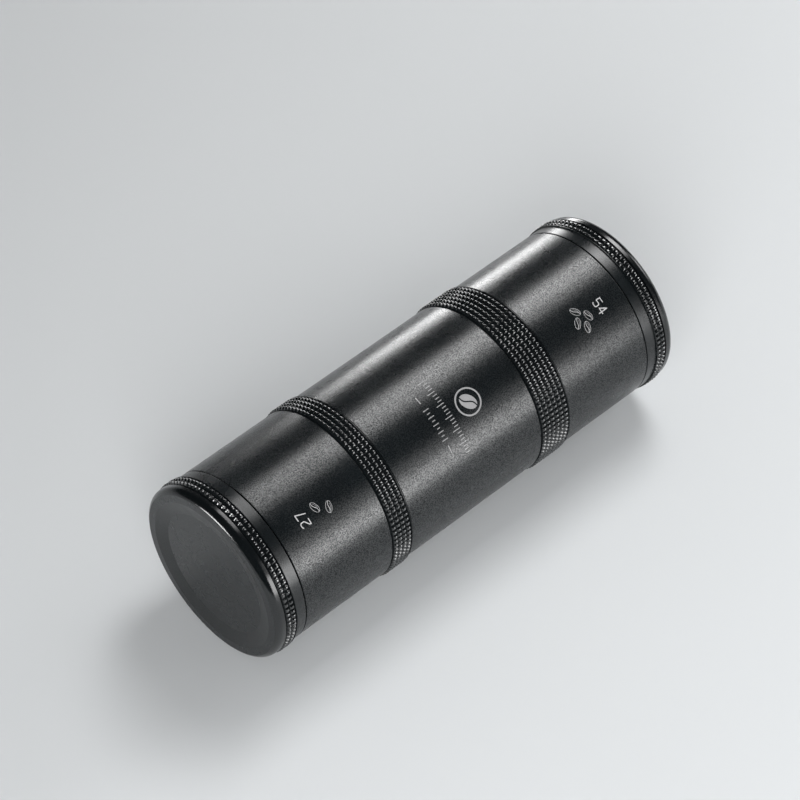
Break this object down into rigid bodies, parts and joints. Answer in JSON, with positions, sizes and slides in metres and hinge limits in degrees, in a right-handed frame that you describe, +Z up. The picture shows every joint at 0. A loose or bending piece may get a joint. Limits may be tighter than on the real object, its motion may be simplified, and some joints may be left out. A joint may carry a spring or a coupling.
{
  "type": "coffee bean canister",
  "caption": "Double-ended turned aluminium coffee bean canister with screw lids, knurled couplers and a divider between its two chambers.",
  "frame": {"origin": "on the surface that the canister lies on, under its middle", "axes": "+X along the canister's axis towards the end with the double dose, +Z up"},
  "size_m": [0.144, 0.052, 0.052],
  "materials": {
    "anodised_black": "satin black anodised over a fine bead blast",
    "anodised_knurl": "satin black anodised, knurled",
    "anodised_inside": "satin black anodised, turned",
    "seal_silicone": "matt",
    "retainer_steel": "brushed"
  },
  "bodies": {
    "middle_tube": {"tube_middle": "anodised_black"},
    "narrow_inner_seal": {"narrow_coupler_inner_o_ring": "seal_silicone"},
    "narrow_coupler": {"narrow_coupler": "anodised_knurl", "divider_gasket": "seal_silicone", "divider_disc": "anodised_inside", "divider_retaining_ring": "retainer_steel"},
    "narrow_outer_seal": {"narrow_coupler_outer_o_ring": "seal_silicone"},
    "tube_27": {"tube_27": "anodised_black"},
    "lid_27_seal": {"lid_27_o_ring": "seal_silicone"},
    "lid_27": {"lid_27_cap": "anodised_black", "lid_27_plug": "anodised_inside", "lid_27_liner": "seal_silicone"},
    "wide_inner_seal": {"wide_coupler_inner_o_ring": "seal_silicone"},
    "wide_coupler": {"wide_coupler": "anodised_knurl"},
    "wide_outer_seal": {"wide_coupler_outer_o_ring": "seal_silicone"},
    "tube_54": {"tube_54": "anodised_black"},
    "lid_54_seal": {"lid_54_o_ring": "seal_silicone"},
    "lid_54": {"lid_54_cap": "anodised_black", "lid_54_plug": "anodised_inside", "lid_54_liner": "seal_silicone"}
  },
  "joints": [
    {"name": "narrow_coupler_draw", "type": "slide", "parent": "middle_tube", "child": "narrow_inner_seal", "axis": [-1, 0, 0], "range_m": [0, 0.008]},
    {"name": "narrow_coupler_turn", "type": "hinge", "parent": "narrow_inner_seal", "child": "narrow_coupler", "pos_m": [-0.02515, 0, 0.026], "axis": [-1, 0, 0], "range_deg": [0, 1440]},
    {"name": "tube_27_turn", "type": "hinge", "parent": "narrow_coupler", "child": "narrow_outer_seal", "pos_m": [-0.03195, 0, 0.026], "axis": [-1, 0, 0], "range_deg": [0, 1440]},
    {"name": "tube_27_draw", "type": "slide", "parent": "narrow_outer_seal", "child": "tube_27", "axis": [-1, 0, 0], "range_m": [0, 0.008]},
    {"name": "lid_27_draw", "type": "slide", "parent": "tube_27", "child": "lid_27_seal", "axis": [-1, 0, 0], "range_m": [0, 0.008]},
    {"name": "lid_27_turn", "type": "hinge", "parent": "lid_27_seal", "child": "lid_27", "pos_m": [-0.0621, 0, 0.026], "axis": [-1, 0, 0], "range_deg": [0, 1440]},
    {"name": "wide_coupler_draw", "type": "slide", "parent": "middle_tube", "child": "wide_inner_seal", "axis": [1, 0, 0], "range_m": [0, 0.008]},
    {"name": "wide_coupler_turn", "type": "hinge", "parent": "wide_inner_seal", "child": "wide_coupler", "pos_m": [0.02205, 0, 0.026], "axis": [1, 0, 0], "range_deg": [0, 1440]},
    {"name": "tube_54_turn", "type": "hinge", "parent": "wide_coupler", "child": "wide_outer_seal", "pos_m": [0.03235, 0, 0.026], "axis": [1, 0, 0], "range_deg": [0, 1440]},
    {"name": "tube_54_draw", "type": "slide", "parent": "wide_outer_seal", "child": "tube_54", "axis": [1, 0, 0], "range_m": [0, 0.008]},
    {"name": "lid_54_draw", "type": "slide", "parent": "tube_54", "child": "lid_54_seal", "axis": [1, 0, 0], "range_m": [0, 0.008]},
    {"name": "lid_54_turn", "type": "hinge", "parent": "lid_54_seal", "child": "lid_54", "pos_m": [0.0621, 0, 0.026], "axis": [1, 0, 0], "range_deg": [0, 1440]}
  ],
  "couplings": [
    {"joint": "narrow_coupler_draw", "follows": "narrow_coupler_turn", "m_per_rad": 0.0003183},
    {"joint": "tube_27_draw", "follows": "tube_27_turn", "m_per_rad": 0.0003183},
    {"joint": "lid_27_draw", "follows": "lid_27_turn", "m_per_rad": 0.0003183},
    {"joint": "wide_coupler_draw", "follows": "wide_coupler_turn", "m_per_rad": 0.0003183},
    {"joint": "tube_54_draw", "follows": "tube_54_turn", "m_per_rad": 0.0003183},
    {"joint": "lid_54_draw", "follows": "lid_54_turn", "m_per_rad": 0.0003183}
  ]
}
